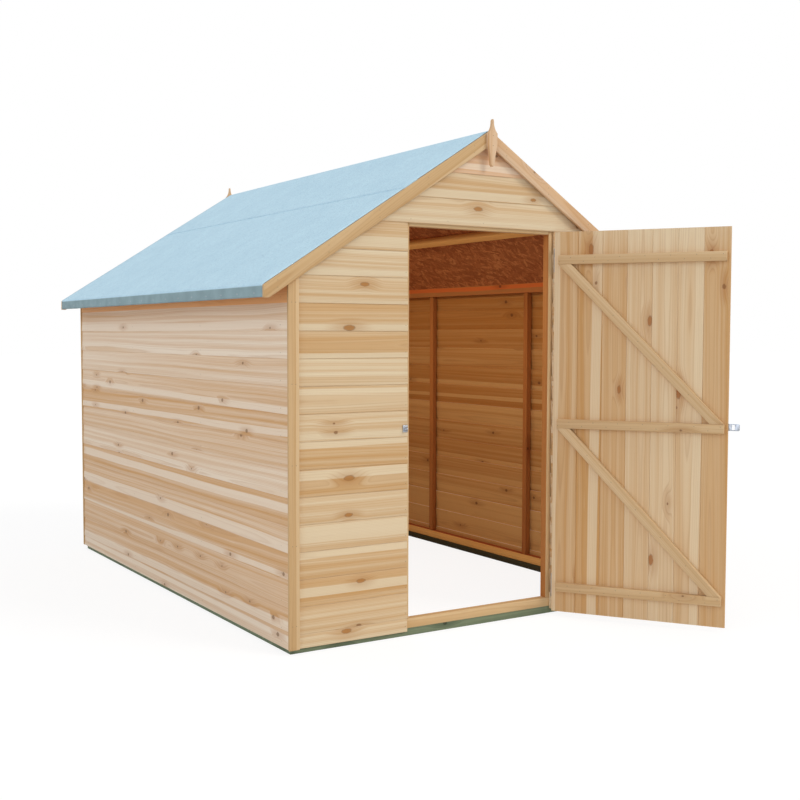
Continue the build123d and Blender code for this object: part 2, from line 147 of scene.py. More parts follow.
# A soft panel under the ridge lights the room, which gets little of the light outside.
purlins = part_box("purlins")
lamp = bpy.data.lights.new("room_lamp", "AREA")
lamp.shape, lamp.size, lamp.size_y, lamp.energy = "RECTANGLE", 0.7, 2.1, 13
lamp.color = linear("#FFF6E8")[:3]
room = bpy.data.objects.new("room_lamp", lamp)
room.location = (0, (purlins[0].y + purlins[1].y) / 2, purlins[1].z)
room.visible_camera = room.visible_glossy = False
bpy.context.scene.collection.objects.link(room)

bpy.context.scene.view_settings.view_transform = "Standard"

# ---------------------------------------------------------------- treated bearers
# Pressure-treated softwood laid flat on the ground under the four walls. The treatment leaves it
# grey green; the sides that don't face outwards are painted much darker, as shade.


def timber_shape():
    """An empty shape whose corners also say where in its log each was sawn, and the pale streak."""
    made = bmesh.new()
    for layer in ("log", "streak", "knot"):
        made.verts.layers.float_vector.new(layer)
    return made


def saw(shape, verts, along, across, seed, tone=None, streak=None, pith=None, knot=None, lean=None):
    """Gives a stick its place in a log: along the log, and across it from the pith, in metres.
    tone runs from 0, pale, to 1, deep. streak is the middle of its pale sapwood from the stick's
    own middle, and half its width. knot is one large knot: along, across and radius. lean is how
    far the grain runs off the stick's line."""
    chance = random.Random(seed)
    log, pale, knots = (shape.verts.layers.float_vector[k] for k in ("log", "streak", "knot"))
    along, across = Vector(along).normalized(), Vector(across).normalized()
    through = along.cross(across)
    low = Vector(min(v.co[i] for v in verts) for i in range(3))
    high = Vector(max(v.co[i] for v in verts) for i in range(3))
    centre = (low + high) / 2
    shift = chance.uniform(2, 60)
    lean = chance.uniform(-0.007, 0.007) if lean is None else lean
    pith = pith or (chance.uniform(-0.03, 0.03), chance.uniform(0.02, 0.06))
    tone = chance.uniform(0.25, 0.75) if tone is None else tone
    middle, half = streak or (0, 0)
    place = (shift + knot[0], pith[0] + knot[1], knot[2]) if knot else (0, 0, 0)
    for v in verts:
        away = v.co - centre
        run = away.dot(along)
        v[log] = (run + shift, away.dot(across) + pith[0] + lean * run, away.dot(through) + pith[1])
        v[pale] = (pith[0] + middle, half, tone)
        v[knots] = place


def sticks(shape):
    """The separate sticks of a shape, each as a list of its corners."""
    left, found = set(shape.verts), []
    while left:
        group, edge = [], [left.pop()]
        while edge:
            corner = edge.pop()
            group.append(corner)
            near = {e.other_vert(corner) for e in corner.link_edges} & left
            left -= near
            edge += near
        found.append(sorted(group, key=lambda v: v.index))
    return sorted(found, key=lambda g: g[0].index)


def show(name, shape, materials, nodes=(), body="shed", crease=35):
    """Makes a shape into a piece that rides on its body and stands for its nodes."""
    mesh = bpy.data.meshes.new(name)
    shape.to_mesh(mesh)
    shape.free()
    mesh.polygons.foreach_set("use_smooth", [True] * len(mesh.polygons))
    mesh.set_sharp_from_angle(angle=math.radians(crease))
    for material in materials if isinstance(materials, tuple) else (materials,):
        mesh.materials.append(material)
    piece = bpy.data.objects.new(name, mesh)
    bpy.context.scene.collection.objects.link(piece)
    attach(piece, body)
    if nodes:
        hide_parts(*nodes)
    return piece


def merged_copy(node, shape):
    """Adds a copy of a node's mesh to a shape, its triangles merged into whole faces."""
    shape.from_mesh(frame["nodes"][node].data)
    bmesh.ops.remove_doubles(shape, verts=shape.verts, dist=0.00002)
    bmesh.ops.dissolve_limit(shape, angle_limit=0.02, verts=shape.verts, edges=shape.edges)
    shape.verts.index_update()
    return shape


def dress(node, material, body="shed", arris=0.0012, seed=1, tone=None, streak=None,
          face=None, lean=None, which=None):
    """A node's sticks with eased edges, each sawn from its own place in a log. face is the way
    across the sticks that the streak is measured. which takes a side to the number of its
    material. tone and streak may depend on a stick's corners."""
    shape = merged_copy(node, timber_shape())
    bmesh.ops.bevel(shape, geom=shape.edges, offset=arris, affect="EDGES", segments=2,
                    profile=0.5, material=-1, clamp_overlap=True)
    shape.verts.index_update()
    for number, corners in enumerate(sticks(shape)):
        longest = max((e for v in corners for e in v.link_edges), key=lambda e: e.calc_length())
        along = (longest.verts[1].co - longest.verts[0].co).normalized()
        if along[max(range(3), key=lambda i: abs(along[i]))] < 0:
            along = -along
        spin = random.Random(seed * 31 + number).uniform(0, 6.28)
        across = face or Matrix.Rotation(spin, 3, along) @ along.orthogonal()
        pale = streak(corners) if callable(streak) else streak
        deep = tone(corners) if callable(tone) else tone
        saw(shape, corners, along, across, seed * 100 + number, deep, pale, lean=lean)
    if which:
        shape.normal_update()
        for side in shape.faces:
            side.material_index = which(side)
    show(node + "_timber", shape, material, [node], body)


def softwood(name, sapwood, heartwood, latewood, knot, roughness, knot_share=0.1):
    """Sawn softwood: rings about the pith, pale sapwood streaks, long fibres and round knots."""
    made, add, surface = new_material(name)
    ring, grain = 0.005, 0.0006
    smooth, mixed = {"interpolation_type": "SMOOTHSTEP"}, {"data_type": "RGBA"}
    sapwood, heartwood, latewood = linear(sapwood), linear(heartwood), linear(latewood)
    log = add("Attribute", attribute_name="log").outputs["Vector"]
    streak = add("Attribute", attribute_name="streak").outputs["Vector"]
    streak_middle, streak_half, tone = add("SeparateXYZ", {0: streak}).outputs
    big = add("Attribute", attribute_name="knot").outputs["Vector"]
    along, across = add("SeparateXYZ", {0: log}).outputs[:2]

    # Small knots: one chance in each 240 by 62 mm of board, 4 to 10 mm in radius.
    spread = add("VectorMath", (log, (1 / 0.24, 1 / 0.062, 0)), operation="MULTIPLY")
    cells = add("TexVoronoi", {"Vector": spread, "Scale": 1.0}, voronoi_dimensions="2D")
    away = add("VectorMath", (spread, cells.outputs["Position"]), operation="SUBTRACT")
    luck = add("SeparateColor", {0: cells.outputs["Color"]}).outputs
    present = add("Math", (luck[0], 1 - knot_share), operation="GREATER_THAN")
    radius = add("MapRange", (luck[1], 0.0, 1.0, 0.0045, 0.0105), **smooth)
    ragged = add("VectorMath", (log, (90, 160, 160)), operation="MULTIPLY")
    ragged = add("TexNoise", {"Vector": ragged, "Scale": 1.0, "Detail": 2.0})
    ragged = add("Math", (ragged, 0.005, -0.0025), operation="MULTIPLY_ADD")
    near = add("VectorMath", (away, (0.17, 0.062, 0)), operation="MULTIPLY")
    near = add("VectorMath", {0: near}, operation="LENGTH").outputs["Value"]
    near = add("Math", (near, ragged), operation="ADD")
    inner = add("Math", (radius, 0.55), operation="MULTIPLY")
    small_core = add("MapRange", (near, radius, inner), **smooth)
    small_core = add("Math", (present, small_core), operation="MULTIPLY")
    oval = add("VectorMath", (away, (0.06, 0.062, 0)), operation="MULTIPLY")
    oval = add("VectorMath", {0: oval}, operation="LENGTH").outputs["Value"]
    small_halo = add("MapRange", (oval, 0.026, 0.003), **smooth)
    small_halo = add("Math", (present, small_halo), operation="MULTIPLY")
    # One large knot where the stick says.
    size = add("SeparateXYZ", {0: big}).outputs[2]
    given = add("Math", (size, 0.001), operation="GREATER_THAN")
    reach = add("VectorMath", (log, big), operation="SUBTRACT")
    reach = add("VectorMath", (reach, (0.42, 1, 0)), operation="MULTIPLY")
    reach = add("VectorMath", {0: reach}, operation="LENGTH").outputs["Value"]
    inner = add("Math", (size, 0.6), operation="MULTIPLY")
    outer = add("Math", (size, 4.0), operation="MULTIPLY")
    large_core = add("Math", (reach, ragged), operation="ADD")
    large_core = add("MapRange", (large_core, size, inner), **smooth)
    large_core = add("Math", (given, large_core), operation="MULTIPLY")
    large_halo = add("MapRange", (reach, outer, inner), **smooth)
    large_halo = add("Math", (given, large_halo), operation="MULTIPLY")
    halo = add("Math", (small_halo, large_halo), operation="MAXIMUM")

    # Rings about the pith, wandering along the log and bending round the knots.
    wander = add("VectorMath", (log, (0.7, 4, 4)), operation="MULTIPLY")
    wander = add("TexNoise", {"Vector": wander, "Scale": 1.0, "Detail": 3.0})
    bent = add("VectorMath", (log, (0, 1, 1)), operation="MULTIPLY")
    bent = add("VectorMath", {0: bent}, operation="LENGTH").outputs["Value"]
    bent = add("Math", (wander, 0.03, bent), operation="MULTIPLY_ADD")
    bent = add("Math", (halo, 0.011, bent), operation="MULTIPLY_ADD")
    rings = add("Math", (bent, ring), operation="DIVIDE")
    rings = add("Math", {0: rings}, operation="FRACT")
    rings = add("ValToRGB", {0: rings}, stops=((0.0, "#000000"), (1.0, "#101010"),
                                               (0.55, "#303030"), (0.88, "#FFFFFF")))
    growth = add("CombineXYZ", (add("Math", (along, 0.35), operation="MULTIPLY"),
                                add("Math", (bent, 70.0), operation="MULTIPLY")))
    growth = add("TexNoise", {"Vector": growth, "Scale": 1.0, "Detail": 2.0, "Roughness": 0.6})
    fibre = add("VectorMath", (log, (5, 330, 330)), operation="MULTIPLY")
    fibre = add("TexNoise", {"Vector": fibre, "Scale": 1.0, "Detail": 3.0})

    # The pale streak, its edge wandering too and 4 mm wide.
    edge = add("Math", (wander, 0.03, -0.015), operation="MULTIPLY_ADD")
    edge = add("Math", (across, edge), operation="ADD")
    edge = add("Math", (edge, streak_middle), operation="SUBTRACT")
    edge = add("Math", {0: edge}, operation="ABSOLUTE")
    outer = add("Math", (streak_half, 0.002), operation="ADD")
    inner = add("Math", (streak_half, 0.002), operation="SUBTRACT")
    given = add("Math", (streak_half, 0.001), operation="GREATER_THAN")
    pale = add("MapRange", (edge, outer, inner), **smooth)
    pale = add("Math", (pale, given), operation="MULTIPLY")

    deep = add("Math", (growth, 1.5, -0.75), operation="MULTIPLY_ADD")
    deep = add("Math", (tone, deep), operation="ADD", use_clamp=True)
    colour = add("Mix", (deep, sapwood, heartwood), **mixed)
    bleached = add("Math", (pale, 0.8), operation="MULTIPLY")
    colour = add("Mix", (bleached, colour, sapwood), **mixed)
    veins = add("Math", (pale, -0.08, 0.22), operation="MULTIPLY_ADD")
    veins = add("Math", (rings, veins), operation="MULTIPLY")
    veins = add("Math", (halo, 0.35, veins), operation="MULTIPLY_ADD", use_clamp=True)
    colour = add("Mix", (veins, colour, latewood), **mixed)
    dark_fibre = add("MapRange", (fibre, 0.62, 0.78, 0.0, 0.22), **smooth)
    colour = add("Mix", (dark_fibre, colour, latewood), **mixed)
    light_fibre = add("MapRange", (fibre, 0.4, 0.24, 0.0, 0.3), **smooth)
    colour = add("Mix", (light_fibre, colour, sapwood), **mixed)
    # A large knot has a dark rim and a warm heart.
    heart = add("MapRange", (large_core, 0.6, 1.0), **smooth)
    heart = add("Mix", (heart, linear(knot), latewood), **mixed)
    core = add("Math", (small_core, 0.7), operation="MULTIPLY")
    large_core = add("Math", (large_core, 0.88), operation="MULTIPLY")
    core = add("Math", (core, large_core), operation="MAXIMUM")
    colour = add("Mix", (core, colour, heart), **mixed)
    lift = add("Math", (rings, 0.3), operation="MULTIPLY")
    lift = add("Math", (fibre, 0.7, lift), operation="MULTIPLY_ADD")
    bump = add("Bump", {"Height": lift, "Strength": 0.35, "Distance": grain})
    plug(surface, {"Base Color": colour, "Normal": bump, "Roughness": roughness,
                   "Specular IOR Level": 0.3})
    return made


# Green-grey softwood straight from the treatment tank, rough sawn, which leaves it dull. The
# second, much darker, is painted shade for the sides that face inwards.
treated = (softwood("treated_sawn_softwood", "#8E9A7C", "#66725A", "#3F4A38", "#2C3026", 0.85),
           softwood("treated_softwood_painted_shade", "#4C4A34", "#3A3726", "#28241A", "#1E1A12", 0.85))
room_middle, inner_reach = Vector((0, 1.2, 0)), 0.055


def painted_shade_side(side):
    """1 for a side that doesn't face outwards, which is painted dark as shade."""
    return int(side.normal.dot(side.calc_center_median() - room_middle) < inner_reach)


for number, node in enumerate(("front_bearer", "side_bearers", "back_bearer")):
    dress(node, treated, seed=11 + number, arris=0.002, which=painted_shade_side)

# ---------------------------------------------------------------- framing
# Softwood battens, cut square and nailed together. The rough ones inside soak up the dip and turn
# a deep orange brown; those round the doorway are planed and stay honey coloured, as do the bottom
# rails. The purlins are given the palest planed batten, as painted light from below.
sawn = softwood("dipped_sawn_batten", "#CC8C4C", "#A05C2A", "#763E1C", "#50301A", 0.75,
                knot_share=0.12)
pale_batten = softwood("dipped_planed_batten", "#EDB96E", "#CE9350", "#9A6230", "#50301A", 0.7)
for number, (node, material, tone) in enumerate((
    ("front_corner_studs", sawn, None), ("front_gable_rails", sawn, None),
    ("back_gable_rails", sawn, None), ("left_studs", sawn, None), ("right_studs", sawn, 0.6),
    ("back_studs", sawn, None), ("back_rails", sawn, None), ("purlins", pale_batten, 0.05),
    ("eaves_boards", sawn, 0.1),
)):
    dress(node, material, seed=20 + number, tone=tone)
# The upper half of each top rail is painted bright orange as a highlight, and the top faces of all
# the rails are painted dark as shade where the wall boards meet them.
rail_pine = (softwood("top_rail_painted_highlight", "#DC7034", "#B47A44", "#8A4A22", "#50301A", 0.7),
             softwood("rail_top_painted_shade", "#A8562A", "#84401C", "#5E2C14", "#3A2010", 0.7),
             pale_batten)
waist = 1.0
for number, node in enumerate(("left_rails", "right_rails")):
    dress(node, rail_pine, seed=35 + number, face=Vector((0, 0, 1)), lean=0.0,
          tone=lambda corners: 0.95 if corners[0].co.z > waist else 0.05,
          streak=lambda corners: (0.012, 0.011) if corners[0].co.z > waist else None,
          which=lambda side: 1 if side.normal.z > 0.5
          else 0 if side.calc_center_median().z > waist else 2)
door_frame_pine = softwood("planed_door_frame_pine", "#E2C79C", "#C2935A", "#9F6A35", "#6B3F1F",
                           0.68, knot_share=0.08)
# The posts' sides and backs take the deep sawn material: painted shade in the doorway's reveals.
for number, node in enumerate(("front_sill", "door_post_left", "door_post_right", "door_lintel")):
    dress(node, (door_frame_pine, sawn), seed=40 + number, tone=0.45,
          which=lambda side: int("post" in node and side.normal.y > -0.5))

# ---------------------------------------------------------------- lapped wall boards
# Softwood boards, nailed over the framing from the bottom up, each lapping the one below and
# standing 4 mm proud of it at the foot. The lap lines run level round the shed.
first_lap, board_rise, head_rise, board_lap = 0.073, 0.103, 0.104, 0.016
foot_in, foot_out, head_out = 0.0078, 0.012, 0.0078
board_arris, waver, thinnest, top_height = 0.0016, 0.0006, 0.005, 0.12
wall_foot, side_top = (corner.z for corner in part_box("left_cladding"))
door_head, apex = (corner.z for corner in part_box("front_gable"))
front_laps = [wall_foot] + [first_lap + board_rise * k for k in range(15)]
side_laps = front_laps[:-1]
back_laps = side_laps + [front_laps[-1] + head_rise * k for k in range(6)]
head_laps = [door_head + head_rise * k for k in range(4)]
pitch = math.atan2(apex - door_head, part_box("front_gable")[1].x)
slopes = [((0, 0, apex), (side * math.sin(pitch), 0, math.cos(pitch))) for side in (-1, 1)]
deepest = 9


def trim_to(shape, part, point, normal):
    """Saws off what lies beyond a plane, and closes the cut."""
    geometry = (part + list({e for v in part for e in v.link_edges})
                + list({f for v in part for f in v.link_faces}))
    cut = bmesh.ops.bisect_plane(shape, geom=geometry, plane_co=point, plane_no=normal,
                                 clear_outer=True)
    edges = [e for e in cut["geom_cut"] if isinstance(e, bmesh.types.BMEdge)]
    if edges:
        bmesh.ops.holes_fill(shape, edges=edges, sides=0)


def long_edges(shape, least):
    """A board's edges along its length."""
    return [e for e in shape.edges if e.calc_length() > least]


def add_to(whole, part):
    """Adds a finished part to a larger shape."""
    joined = bpy.data.meshes.new("part")
    part.to_mesh(joined)
    part.free()
    whole.from_mesh(joined)
    bpy.data.meshes.remove(joined)


def lay_boards(name, node, turn, laps, top, sorts, seed, material, knots=None, painted_shade_from=99):
    """Boards one wall, from its foot up. turn takes local X along the wall and local Y outwards.
    sorts gives each board its depth of colour and its pale streak, and knots gives some one large
    knot: mm along it, mm above its foot, and the radius in mm. From the board that the last
    argument gives, up, the outsides take the third material, which is painted warm shade."""
    spin = Matrix.Rotation(math.radians(turn), 4, "Z")
    ends = [spin.inverted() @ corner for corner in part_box(node)]
    start = Vector((min(e.x for e in ends), min(e.y for e in ends), 0))
    length = abs(ends[1].x - ends[0].x)
    inward = spin.to_3x3() @ Vector((0, -1, 0))
    wall = timber_shape()
    for number, lap in enumerate(laps):
        if lap >= top - thinnest:
            continue
        last = number + 1 == len(laps)
        head = min(lap + top_height if last else laps[number + 1] + board_lap, top)
        board = timber_shape()
        bmesh.ops.create_cube(board, size=1)
        foot_back = foot_in if number else 0.0
        for v in board.verts:
            high, outer = v.co.z > 0, v.co.y > 0
            depth = (head_out if high else foot_out) if outer else (0.0 if high else foot_back)
            v.co = (length * (v.co.x + 0.5), depth, head if high else lap)
        low_edges = [e for e in long_edges(board, length * 0.9) if e.verts[0].co.z < lap + 0.001]
        bmesh.ops.bevel(board, geom=low_edges, offset=board_arris, affect="EDGES", segments=2,
                        profile=0.5, material=-1)
        bmesh.ops.subdivide_edges(board, edges=long_edges(board, length * 0.9),
                                  cuts=max(4, int(length / 0.07)), use_grid_fill=True)
        # The foot wavers a little, and the face is hollowed here and there.
        sway = random.Random(seed + number).uniform(0, 50)
        for v in board.verts:
            if v.co.z < lap + 0.03 and number:
                v.co.z += waver * noise.noise((v.co.x * 1.5 + sway, number, 3))
            if v.co.y > 0.001:
                v.co.y -= waver * abs(noise.noise((v.co.x * 3.1 + sway, v.co.z * 9, 7)))
        bmesh.ops.transform(board, matrix=spin @ Matrix.Translation(start), verts=board.verts)
        if top > side_top and head > side_top - 0.02:
            for point, normal in slopes:
                trim_to(board, board.verts[:], point, normal)
        if not board.faces:
            board.free()
            continue
        tone, middle, width = sorts[number % len(sorts)]
        chance = random.Random(seed * 97 + number)
        # Four boards in five are sawn well off the pith.
        pith = (chance.choice((-1, -1, 1, 1, 0.2)) * chance.uniform(0.03, 0.09),
                chance.uniform(0.02, 0.05))
        half_height = (head - lap) / 2
        board.normal_update()
        for face in board.faces:
            # From the given board up, the outsides take the third material: painted warm shade.
            outside = 2 if number >= painted_shade_from else 0
            face.material_index = 1 if face.normal.dot(inward) > 0.7 else outside
        big = (knots or {}).get(number)
        saw(board, board.verts[:], spin @ Vector((1, 0, 0)), (0, 0, 1), seed * 50 + number,
            tone / deepest, (middle / 1000 - half_height, width / 2000) if width else None, pith,
            big and (big[0] / 1000 - length / 2, big[1] / 1000 - half_height, big[2] / 1000))
        add_to(wall, board)
    show(name, wall, material, [node])


# Planed and dipped softwood boards: honey coloured, with pale sapwood streaks and small knots. The
# backs are left rough from the saw, so they soak up more of the dip and turn orange brown; their
# deeper colour is also painted shade for the dim room inside.
lapped = (softwood("dipped_planed_board", "#E6D4B4", "#CA9B61", "#AE773C", "#7C5028", 0.66,
                   knot_share=0.05),
          softwood("rough_board_back_and_painted_room_shade", "#D5A86B", "#B3783A", "#8B5428", "#5E3A1E", 0.78,
                   knot_share=0.14))
# The side walls' boards come from another bundle, a little pinker and with more small knots. The
# topmost boards, in the roof's shade, take a warmer, redder material: painted warm shade.
side_lapped = (softwood("dipped_planed_side_board", "#F0DEC8", "#D2A26C", "#B47A42", "#7A5836",
                        0.66, knot_share=0.15), lapped[1],
               softwood("top_board_painted_warm_shade", "#F6CC9E", "#EBAC6E", "#CC8448", "#7A5836", 0.66))
# The gable's top boards, under the barge boards, take a redder material too: painted warm shade.
gable_painted_warm_shade = softwood("gable_board_painted_warm_shade", "#F2DEC6", "#DFB084", "#C88F5E", "#7A5836", 0.66)
# Each board from the foot up: how deep its colour is, 0 to 9, then the middle and the width in mm
# of its pale sapwood streak above the lower edge.
front_sorts = (
    (2.5, 0, 0), (4, 0, 0), (7, 50, 34), (5.5, 88, 34), (4.5, 60, 60), (4.5, 0, 0), (7.5, 76, 34),
    (6.5, 94, 26), (3, 14, 24), (4, 84, 20), (2, 0, 0), (6, 14, 20), (6, 14, 28), (3, 0, 0),
    (2.5, 12, 20), (5, 30, 40),
)
head_sorts = ((2, 0, 0), (4.7, 16, 32), (7, 27, 26), (6, 0, 0))
left_sorts = (
    (2.5, 40, 20), (5.5, 26, 36), (5.5, 0, 0), (7, 10, 24), (5.5, 26, 46), (7, 64, 34), (2.5, 0, 0),
    (4.8, 0, 0), (7, 26, 28), (5, 24, 26), (3, 0, 0), (2, 0, 0), (3.5, 18, 34), (8, 0, 0),
)
right_sorts = (
    (1, 0, 0), (0, 18, 34), (0, 0, 0), (3, 0, 0), (5, 28, 32), (6, 26, 28), (5, 0, 0), (3, 12, 24),
    (8, 60, 20), (7, 22, 32), (5, 0, 0), (7, 0, 0), (9, 0, 0), (8, 0, 0),
)
lay_boards("front_boards_left", "front_cladding_left", 180, front_laps, door_head, front_sorts, 3,
           lapped, {0: (274, 40, 11), 2: (211, 71, 10), 5: (265, 22, 9), 6: (262, 60, 12),
                    12: (262, 12, 13), 13: (193, 74, 10)})
lay_boards("front_boards_right", "front_cladding_right", 180, front_laps, door_head, front_sorts, 4,
           lapped)
lay_boards("front_boards_gable", "front_gable", 180, head_laps, apex, head_sorts, 5,
           (*lapped, gable_painted_warm_shade), {0: (624, 71, 11), 1: (344, 20, 8)}, painted_shade_from=2)
lay_boards("left_boards", "left_cladding", 90, side_laps, side_top, left_sorts, 6, side_lapped,
           painted_shade_from=13)
lay_boards("right_boards", "right_cladding", -90, side_laps, side_top, right_sorts, 7, side_lapped,
           painted_shade_from=13)
lay_boards("back_boards", "back_cladding", 0, back_laps, apex, front_sorts[::-1], 8, lapped)

# ---------------------------------------------------------------- roof boards
# Oriented strand board, pressed from flat softwood strands, laid over the purlins and left bare
# underneath.
strand, add, surface = new_material("pressed_strand_board")
place = add("TexCoord").outputs["Object"]
tones = add("Value").outputs[0]
strand_size = (0.045, 0.013, 0.045)
for layer, angle in enumerate((12, 71, -48, -80, 35)):
    # Strands about 45 mm long and 13 mm wide, lying in five directions over one another.
    laid = add("Mapping", {"Vector": place, "Location": (layer * 3.0, layer * 1.7, 0),
                           "Rotation": (0, 0, math.radians(angle)), "Scale": strand_size},
               vector_type="TEXTURE")
    flake = add("TexVoronoi", {"Vector": laid, "Scale": 1.0}, voronoi_dimensions="2D")
    luck = add("SeparateColor", {0: flake.outputs["Color"]}).outputs
    over = add("Math", (luck[1], layer / (layer + 1)), operation="GREATER_THAN")
    tones = add("Mix", (over, tones, luck[0]), data_type="FLOAT").outputs[0]
fibre = add("TexNoise", {"Vector": place, "Scale": 130.0, "Detail": 4.0})
fibre = add("Math", (fibre, 1.4, -0.7), operation="MULTIPLY_ADD")
shade = add("Math", (tones, fibre), operation="ADD", use_clamp=True)
colour = add("ValToRGB", {0: shade}, stops=((0.0, "#9A5A30"), (1.0, "#CE8C56"), (0.4, "#A9673B"),
                                            (0.75, "#B87242")))
bump = add("Bump", {"Height": shade, "Strength": 0.3, "Distance": 0.001})
plug(surface, {"Base Color": colour, "Normal": bump, "Roughness": 0.7, "Specular IOR Level": 0.3})
for side in ("left", "right"):
    sheet = merged_copy("roof_board_" + side, timber_shape())
    show("roof_sheet_" + side, sheet, strand, ["roof_board_" + side])

# ---------------------------------------------------------------- roofing felt
# Pale blue mineral felt, 1 m wide: bitumen on a woven base, faced with fine slate granules. One
# strip covers each lower slope and turns down over the eaves, and the ridge strip laps them both.
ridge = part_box("felt_ridge")
seam_x, ridge_z = ridge[1].x, ridge[1].z
eaves_foot, eaves_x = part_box("felt_left")[0].z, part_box("felt_right")[1].x
roof_front, roof_back = ridge[0].y, ridge[1].y
roof_middle, roof_run = (roof_front + roof_back) / 2, roof_back - roof_front
eaves_z = ridge_z - eaves_x * math.tan(pitch)

felt, add, surface = new_material("mineral_faced_felt")
place = add("TexCoord").outputs["Object"]
# Granules are about 1 mm; they are drawn at 3 mm, so that they show.
granules = add("TexVoronoi", {"Vector": place, "Scale": 330.0})
grit = add("SeparateColor", {0: granules.outputs["Color"]}).outputs[0]
patch = add("TexNoise", {"Vector": place, "Scale": 7.0, "Detail": 5.0, "Roughness": 0.65})
speck = add("TexNoise", {"Vector": place, "Scale": 60.0, "Detail": 4.0})
colour = add("ValToRGB", {0: patch}, stops=((0.3, "#BEDEEE"), (0.72, "#C8E7F5"), (0.5, "#C3E2F1")))
for value, start, end, most, code in (
    (speck, 0.5, 0.8, 0.35, "#9FC3DA"), (grit, 0.7, 1.0, 0.45, "#DCEFF8"),
    (grit, 0.22, 0.0, 0.4, "#7FA5BD"),
):
    share = add("MapRange", (value, start, end, 0.0, most))
    colour = add("Mix", (share, colour, linear(code)), data_type="RGBA")
# Where it turns down over the eaves it is painted a darker grey: painted shade on the downturned
# face.
height = add("SeparateXYZ", {0: place}).outputs[2]
eaves_shade_share = add("MapRange", (height, eaves_z - 0.004, eaves_z - 0.008))
eaves_shade = add("TexNoise", {"Vector": place, "Scale": 14.0, "Detail": 4.0})
eaves_shade = add("ValToRGB", {0: eaves_shade}, stops=((0.35, "#889EA3"), (0.7, "#95ACB1")))
colour = add("Mix", (eaves_shade_share, colour, eaves_shade), data_type="RGBA")
bump = add("Bump", {"Height": grit, "Strength": 0.3, "Distance": 0.0006})
plug(surface, {"Base Color": colour, "Normal": bump, "Roughness": 0.85, "Specular IOR Level": 0.25})


def lay_felt(name, node, flat, fold, stations):
    """Lays a strip of felt with rows at these distances across it. fold takes a distance across
    the strip and one along it to a place on the roof and the way that the felt faces there."""
    strip, last = bmesh.new(), len(stations) - 1
    bmesh.ops.create_grid(strip, x_segments=last, y_segments=90, size=0.5)
    for v in strip.verts:
        across, along = stations[round((v.co.x + 0.5) * last)], v.co.y * flat[1]
        x, z, nx, nz = fold(across, along)
        crease = (0.0005 * noise.noise((across * 4, along * 2.2, 1))
                  + 0.00015 * noise.noise((across * 18, along * 7, 4)))
        v.co = (x + nx * crease, roof_middle + along, z + nz * crease)
    bmesh.ops.recalc_face_normals(strip, faces=strip.faces)
    if sum(f.normal.z for f in strip.faces) < 0:
        bmesh.ops.reverse_faces(strip, faces=strip.faces)
    piece = show(name, strip, felt, [node], crease=60)
    thick = piece.modifiers.new("thickness", "SOLIDIFY")
    thick.thickness = 0.0025
    thick.offset = -1


# The lower strips start under the ridge strip, and end 4 mm short of the eaves' foot.
lap_under, under_depth, short, fold_radius = 0.075, 0.0029, 0.004, 0.012
slope_from_ridge, eaves_from_ridge = seam_x / math.cos(pitch), eaves_x / math.cos(pitch)
turn_down, to_plumb = eaves_z - eaves_foot, math.pi / 2 - pitch
fold_start = eaves_from_ridge - fold_radius * math.tan(to_plumb / 2)
fold_run = fold_radius * to_plumb


def down_slope(side, start):
    """Where a lower strip lies: down the slope from start, then round the eaves board."""
    def fold(across, along):
        run = start + across
        if run <= fold_start:
            under = under_depth * min(1, max(0, (slope_from_ridge + 0.004 - run) / 0.01))
            return (side * run * math.cos(pitch), ridge_z - run * math.sin(pitch) - under,
                    side * math.sin(pitch), math.cos(pitch))
        angle = pitch + min((run - fold_start) / fold_radius, to_plumb)
        x = fold_start * math.cos(pitch) + fold_radius * (math.sin(angle) - math.sin(pitch))
        z = (ridge_z - fold_start * math.sin(pitch)
             - fold_radius * (math.cos(pitch) - math.cos(angle)))
        past = max(run - fold_start - fold_run, 0)
        wave = 0.0012 * past / turn_down * noise.noise((along * 4.5, side, 9))
        return side * x, z - past - wave, side * math.sin(angle), math.cos(angle)
    return fold


def spaced(start, end, count):
    """Evenly spaced distances, without the last."""
    return [start + (end - start) * k / count for k in range(count)]


strip_start = slope_from_ridge - lap_under
fold_at = fold_start - strip_start
strip_width = fold_at + fold_run + turn_down - short
for side, name in ((-1, "left"), (1, "right")):
    lay_felt("felt_strip_" + name, "felt_" + name, (strip_width, roof_run),
             down_slope(side, strip_start),
             spaced(0, lap_under - 0.01, 4) + spaced(lap_under - 0.01, lap_under + 0.01, 5)
             + spaced(lap_under + 0.01, fold_at, 34) + spaced(fold_at, fold_at + fold_run, 5)
             + spaced(fold_at + fold_run, strip_width, 5) + [strip_width])


def over_ridge(across, along):
    """Where the ridge strip lies: up one slope, over the ridge and down the other."""
    run = across - slope_from_ridge
    side = 1 if run > 0 else -1
    soft = 0.008
    level = abs(run) if abs(run) > soft else (run * run / soft + soft) / 2
    return (run * math.cos(pitch), ridge_z - level * math.sin(pitch) + 0.0003,
            side * math.sin(pitch) * min(1, abs(run) / soft), math.cos(pitch))


near_ridge = [slope_from_ridge + 0.004 * k for k in range(-5, 6)]
up_slope = spaced(0, near_ridge[0], 24)
lay_felt("felt_strip_ridge", "felt_ridge", (2 * slope_from_ridge, roof_run), over_ridge,
         up_slope + near_ridge + [2 * slope_from_ridge - d for d in up_slope[::-1]])

